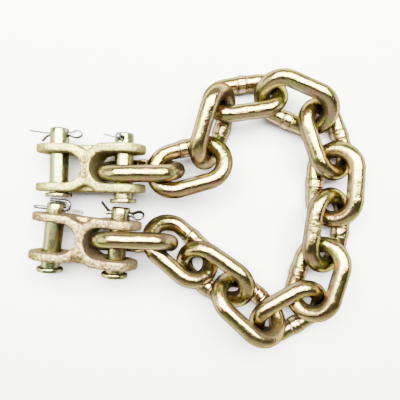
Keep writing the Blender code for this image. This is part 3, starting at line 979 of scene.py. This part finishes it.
def clevis_body(wanted):
    """The forged body as one closed mesh with soft edges and fillets."""
    half = CLEVIS_WIDTH / 2 - wanted.boss_step
    near = PIN_SPACING / 2 - FLANGE_REACH
    far = PIN_SPACING / 2 + FLANGE_REACH
    steps = [("INTERSECT", prism("side", clevis_side(), 2 * CLEVIS_WIDTH, upright))]
    for way in (1, -1):
        depth = (half - FLANGE_DEPTH) * way
        edge = half * way
        outline = [(near, depth), (far, depth), (far, edge), (near, edge)]
        steps.append(("UNION", prism("flange", outline, FLANGE_HEIGHT, flat)))
    for reach in FORKS.values():
        drill = lathe("drill", ((HOLE_RADIUS, -CLEVIS_WIDTH), (HOLE_RADIUS, CLEVIS_WIDTH)), 48)
        drill.transform(Matrix.Translation((reach, 0.0, 0.0)))
        steps.append(("DIFFERENCE", drill))
    steps.append(("REMESH", {"mode": "VOXEL", "voxel_size": wanted.grain}))
    steps.append(("SMOOTH", {"factor": 0.6, "iterations": 40}))
    base = prism("plan", clevis_plan(wanted.web_half, wanted.boss_step), 3 * EYE_RADIUS, flat)
    return worked("clevis", base, steps)


def raise_marks(mesh, marks, rise):
    """Raise plain rings and bars out of the web's upper face and paint shade along their sides."""
    places = point_rows(mesh, "co")
    up = np.clip((point_rows(mesh, "normal")[:, 2] - 0.6) / 0.3, 0, 1)
    high = places[:, 2] > WEB_TOP_FROM
    nearest = np.ones(len(places))
    for x, y, size, kind in marks:
        dx = places[:, 0] - (PIN_SPACING / 2 + x)
        dy = places[:, 1] - y
        if kind == "ring":
            away = np.abs(np.hypot(dx, dy) - size)
        else:
            away = np.hypot(dx, np.maximum(np.abs(dy) - size, 0))
        nearest = np.minimum(nearest, away)
    places[:, 2] += smooth_step(1 - nearest / MARK_HALF_WIDTH) * rise * up * high
    move_points(mesh, places)
    # Painted shade in bands along both sides of each mark.
    shade = np.clip(1.6 - np.abs(nearest - MARK_EDGE) / MARK_EDGE_FADE, 0, 1) * up * high
    keep_values(mesh, "mark", shade)


class CHAIN_OT_clevises(bpy.types.Operator):
    """Make the two forged double clevises"""

    bl_idname = "clevis_chain.clevises"
    bl_label = "Clevises"

    def execute(self, context):
        """Forge one body and copy it to both ends, each with its own tint and marks."""
        wanted = context.scene.clevises
        body = clevis_body(wanted)
        main_tints = {"upper": wanted.pale, "lower": wanted.rosy}
        for side in SIDES:
            looks = CLEVIS_LOOKS[side]
            mesh = body.copy()
            raise_marks(mesh, looks["marks"], wanted.mark_rise)
            mesh.transform(clevis_frame(side))
            mesh.shade_smooth()
            tints = (main_tints[side], *looks["tints"])
            finish = {**FORGING_FINISH, "speckle": looks["speckle"]}
            mesh.materials.append(plated_metal(side.capitalize() + " forging", tints, finish))
            obj = show(side + "_forging", mesh)
            register_piece(obj, side + "_clevis", side + "_end")
        return {"FINISHED"}


def headed_pin(wanted):
    """A headed pin with a rounded rim, a chamfered end and a cross hole."""
    rim = wanted.rim_round
    chamfer = wanted.end_chamfer
    flat_part = HEAD_RADIUS - rim
    profile = [(HEAD_CENTRE, -HEAD_THICKNESS)]
    profile += [(flat_part + a, b) for a, b in arc((0.0, rim - HEAD_THICKNESS), rim, -90, 0, 5)]
    profile += [(flat_part + a, b) for a, b in arc((0.0, -rim), rim, 0, 90, 5)]
    profile += [(PIN_RADIUS + CORNER, 0.0), (PIN_RADIUS, CORNER)]
    profile += [(PIN_RADIUS, y) for y in np.linspace(0.002, PIN_LENGTH - chamfer - CORNER, 12)]
    profile += [
        (PIN_RADIUS - CORNER / 2, PIN_LENGTH - chamfer),
        (PIN_RADIUS - chamfer + CORNER / 2, PIN_LENGTH - CORNER / 2),
        (PIN_RADIUS - chamfer - CORNER, PIN_LENGTH),
    ]
    shank = lathe("shank", profile, 72)
    drill = lathe("drill", ((CROSS_HOLE_RADIUS, -0.01), (CROSS_HOLE_RADIUS, 0.01)), 32)
    turn = Matrix.Rotation(math.pi / 2, 4, "Z")
    drill.transform(Matrix.Translation((0.0, PIN_LENGTH - CROSS_HOLE_TO_END, 0.0)) @ turn)
    rounding = {
        "width": 0.00015, "segments": 2, "limit_method": "ANGLE", "angle_limit": math.radians(50),
    }
    return worked("headed_pin", shank, [("DIFFERENCE", drill), ("BEVEL", rounding)])


class CHAIN_OT_headed_pins(bpy.types.Operator):
    """Make the four headed pins"""

    bl_idname = "clevis_chain.headed_pins"
    bl_label = "Headed Pins"

    def execute(self, context):
        """Turn one pin and copy it to the four places."""
        wanted = context.scene.clevis_pins
        turned = headed_pin(wanted)
        metal = plated_metal("Chromated pin steel", (wanted.plating, *PIN_TINTS), PIN_FINISH)
        for side in SIDES:
            for which in FORKS:
                mesh = turned.copy()
                mesh.transform(pin_frame(side, which))
                mesh.shade_smooth()
                mesh.set_sharp_from_angle(angle=math.radians(30))
                mesh.materials.append(metal)
                node = "_".join((side, which, "pin"))
                obj = show(node + "_turned", mesh)
                register_piece(obj, node, side + "_end")
        return {"FINISHED"}


def strand_section():
    """The half-round section of a split pin's strand, its flat side on the left."""
    section = [(STRAND_SHIFT, STRAND_RADIUS), (STRAND_SHIFT, -STRAND_RADIUS)]
    for a in np.linspace(-1.35, 1.35, 9):
        section.append((STRAND_SHIFT + STRAND_RADIUS * math.cos(a), STRAND_RADIUS * math.sin(a)))
    return section


def strand_mesh(name, path, start, normal):
    """Sweep the half-round strand along a path; its flat side faces the other strand."""
    ways = []
    for index in range(len(path)):
        before = path[max(index - 1, 0)]
        after = path[min(index + 1, len(path) - 1)]
        ways.append((after - before).normalized())
    sides = {}
    for order in (range(start, len(path)), range(start - 1, -1, -1)):
        side = normal
        for index in order:
            side = (side - ways[index] * side.dot(ways[index])).normalized()
            sides[index] = side
    section = strand_section()
    bm = bmesh.new()
    rings = []
    for index, point in enumerate(path):
        across = ways[index].cross(sides[index])
        rings.append([bm.verts.new(point + across * a + sides[index] * b) for a, b in section])
    join_rings(bm, rings)
    return closed_mesh(name, bm)


def split_pin(name, facts):
    """A split pin with its strands along X and its eye on the -X side."""
    eye_length, eye_width = (size * MILLIMETRE for size in facts["eye"])
    middle = -MOUTH - EYE_NECK - eye_length / 2
    loop = [(MOUTH, STRAND_FROM_AXIS), (-MOUTH, STRAND_FROM_AXIS)]
    for a in np.radians(np.linspace(50, 310, 13)):
        loop.append((middle + eye_length / 2 * math.cos(a), eye_width / 2 * math.sin(a)))
    loop += [(-MOUTH, -STRAND_FROM_AXIS), (MOUTH, -STRAND_FROM_AXIS)]
    twist = Matrix.Rotation(math.radians(facts["twist"]), 3, "X")
    loop = [twist @ Vector((x, y, 0.0)) for x, y in loop]
    near_leg = [Vector(point) * MILLIMETRE for point in reversed(facts["near_leg"])]
    far_leg = [Vector(point) * MILLIMETRE for point in facts["far_leg"]]
    path = cut_corners(near_leg + loop + far_leg, 2)
    far_eye = loop[len(loop) // 2]
    start = min(range(len(path)), key=lambda index: (path[index] - far_eye).length)
    return strand_mesh(name, path, start, twist @ Vector((0.0, 0.0, 1.0)))


class CHAIN_OT_split_pins(bpy.types.Operator):
    """Make the four split pins"""

    bl_idname = "clevis_chain.split_pins"
    bl_label = "Split Pins"

    def execute(self, context):
        """Fold each split pin as it is bent in its own hole."""
        metal = zinc_metal("Bright zinc wire", context.scene.clevis_pins.zinc)
        lay = Matrix.Translation((0.0, PIN_LENGTH - CROSS_HOLE_TO_END, 0.0))
        for (side, which), facts in SPLIT_PINS.items():
            node = "_".join((side, which, "split_pin"))
            mesh = split_pin(node, facts)
            mesh.transform(pin_frame(side, which) @ lay)
            mesh.shade_smooth()
            mesh.set_sharp_from_angle(angle=math.radians(40))
            mesh.materials.append(metal)
            obj = show(node + "_wire", mesh)
            register_piece(obj, node, side + "_end")
        return {"FINISHED"}


def soft_room(wanted):
    """A dim room, brighter near the horizon, in its far half and low on the near side."""
    world = bpy.data.worlds.new("Soft room")
    world.use_nodes = True
    bench = Bench(world.node_tree)
    background = world.node_tree.nodes["Background"]
    way = bench.add("ShaderNodeTexCoord").outputs["Generated"]
    parts = bench.add("ShaderNodeSeparateXYZ", {0: way}).outputs
    rim = bench.times(bench.step(parts["Z"], *RIM_FADE), wanted.rim)
    front = bench.times(bench.step(parts["Y"], *FRONT_FADE), wanted.front)
    glow = bench.times(bench.step(parts["Y"], *GLOW_FADE), wanted.glow)
    total = wanted.overhead
    for share in (rim, front, glow):
        total = bench.maths("ADD", share, total)
    background.inputs["Color"].default_value = ROOM_COLOUR
    bench.tree.links.new(total, background.inputs["Strength"])
    return world


def area_light(name, power):
    """Hang one of the lights, with its power in watts."""
    place, aim, size, colour = LIGHTS[name]
    data = bpy.data.lights.new(name, "AREA")
    data.shape = "RECTANGLE"
    data.size, data.size_y = size
    data.energy = power
    data.color = colour
    light = bpy.data.objects.new(name, data)
    light.location = place
    light.rotation_euler = (Vector(aim) - Vector(place)).to_track_quat("-Z", "Y").to_euler()
    bpy.context.scene.collection.objects.link(light)


def paper_floor(colour):
    """A large flat sheet of matt paper."""
    bm = bmesh.new()
    bmesh.ops.create_grid(bm, x_segments=1, y_segments=1, size=FLOOR_HALF)
    mesh = bpy.data.meshes.new("floor")
    bm.to_mesh(mesh)
    bm.free()
    paper = bpy.data.materials.new("Pale paper")
    paper.use_nodes = True
    shader = paper.node_tree.nodes["Principled BSDF"]
    shader.inputs["Base Color"].default_value = (*colour, 1.0)
    shader.inputs["Roughness"].default_value = 0.9
    mesh.materials.append(paper)
    return mesh


class CHAIN_OT_stage(bpy.types.Operator):
    """Lay the pale floor, hang the lights and set up the camera"""

    bl_idname = "clevis_chain.stage"
    bl_label = "Floor, Lights and Camera"

    def execute(self, context):
        """Build everything that isn't part of the chain."""
        wanted = context.scene.chain_stage
        show("floor", paper_floor(wanted.floor_colour))
        camera = bpy.data.objects.new("camera", bpy.data.cameras.new("camera"))
        camera.data.sensor_width = SENSOR_WIDTH
        camera.data.lens = wanted.lens
        camera.data.clip_start = CLIP_START
        camera.location = wanted.camera_place
        context.scene.collection.objects.link(camera)
        context.scene.camera = camera
        context.scene.world = soft_room(wanted)
        for name in LIGHTS:
            area_light(name, getattr(wanted, name + "_power"))
        return {"FINISHED"}


class CHAIN_PT_builder(bpy.types.Panel):
    """Sidebar panel with the settings and a button for every group of pieces"""

    bl_idname = "CHAIN_PT_builder"
    bl_label = "Clevis Chain"
    bl_space_type = "VIEW_3D"
    bl_region_type = "UI"
    bl_category = "Clevis Chain"

    def draw(self, context):
        """List each group's settings over the buttons that build it."""
        for settings, _, operators in GROUPS:
            column = self.layout.column(align=True)
            group = getattr(context.scene, settings)
            for name in group.bl_rna.properties.keys():
                if name not in ("rna_type", "name"):
                    column.prop(group, name)
            for operator in operators:
                column.operator(operator.bl_idname)


GROUPS = (
    ("chain_links", ChainLinkSettings, (CHAIN_OT_links,)),
    ("clevises", ClevisSettings, (CHAIN_OT_clevises,)),
    ("clevis_pins", PinSettings, (CHAIN_OT_headed_pins, CHAIN_OT_split_pins)),
    ("chain_stage", StageSettings, (CHAIN_OT_stage,)),
)
CLASSES = (
    *(settings for _, settings, _ in GROUPS),
    *(operator for _, _, operators in GROUPS for operator in operators),
    CHAIN_PT_builder,
)


def register():
    """Register the classes and hang the settings on the scene."""
    for cls in CLASSES:
        bpy.utils.register_class(cls)
    for name, settings, _ in GROUPS:
        setattr(bpy.types.Scene, name, PointerProperty(type=settings))


def unregister():
    """Take the settings and the classes away again."""
    for name, _, _ in GROUPS:
        delattr(bpy.types.Scene, name)
    for cls in reversed(CLASSES):
        bpy.utils.unregister_class(cls)


def main():
    register()
    bpy.ops.clevis_chain.links()
    bpy.ops.clevis_chain.clevises()
    bpy.ops.clevis_chain.headed_pins()
    bpy.ops.clevis_chain.split_pins()
    bpy.ops.clevis_chain.stage()
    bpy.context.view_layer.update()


if __name__ == "__main__":
    main()
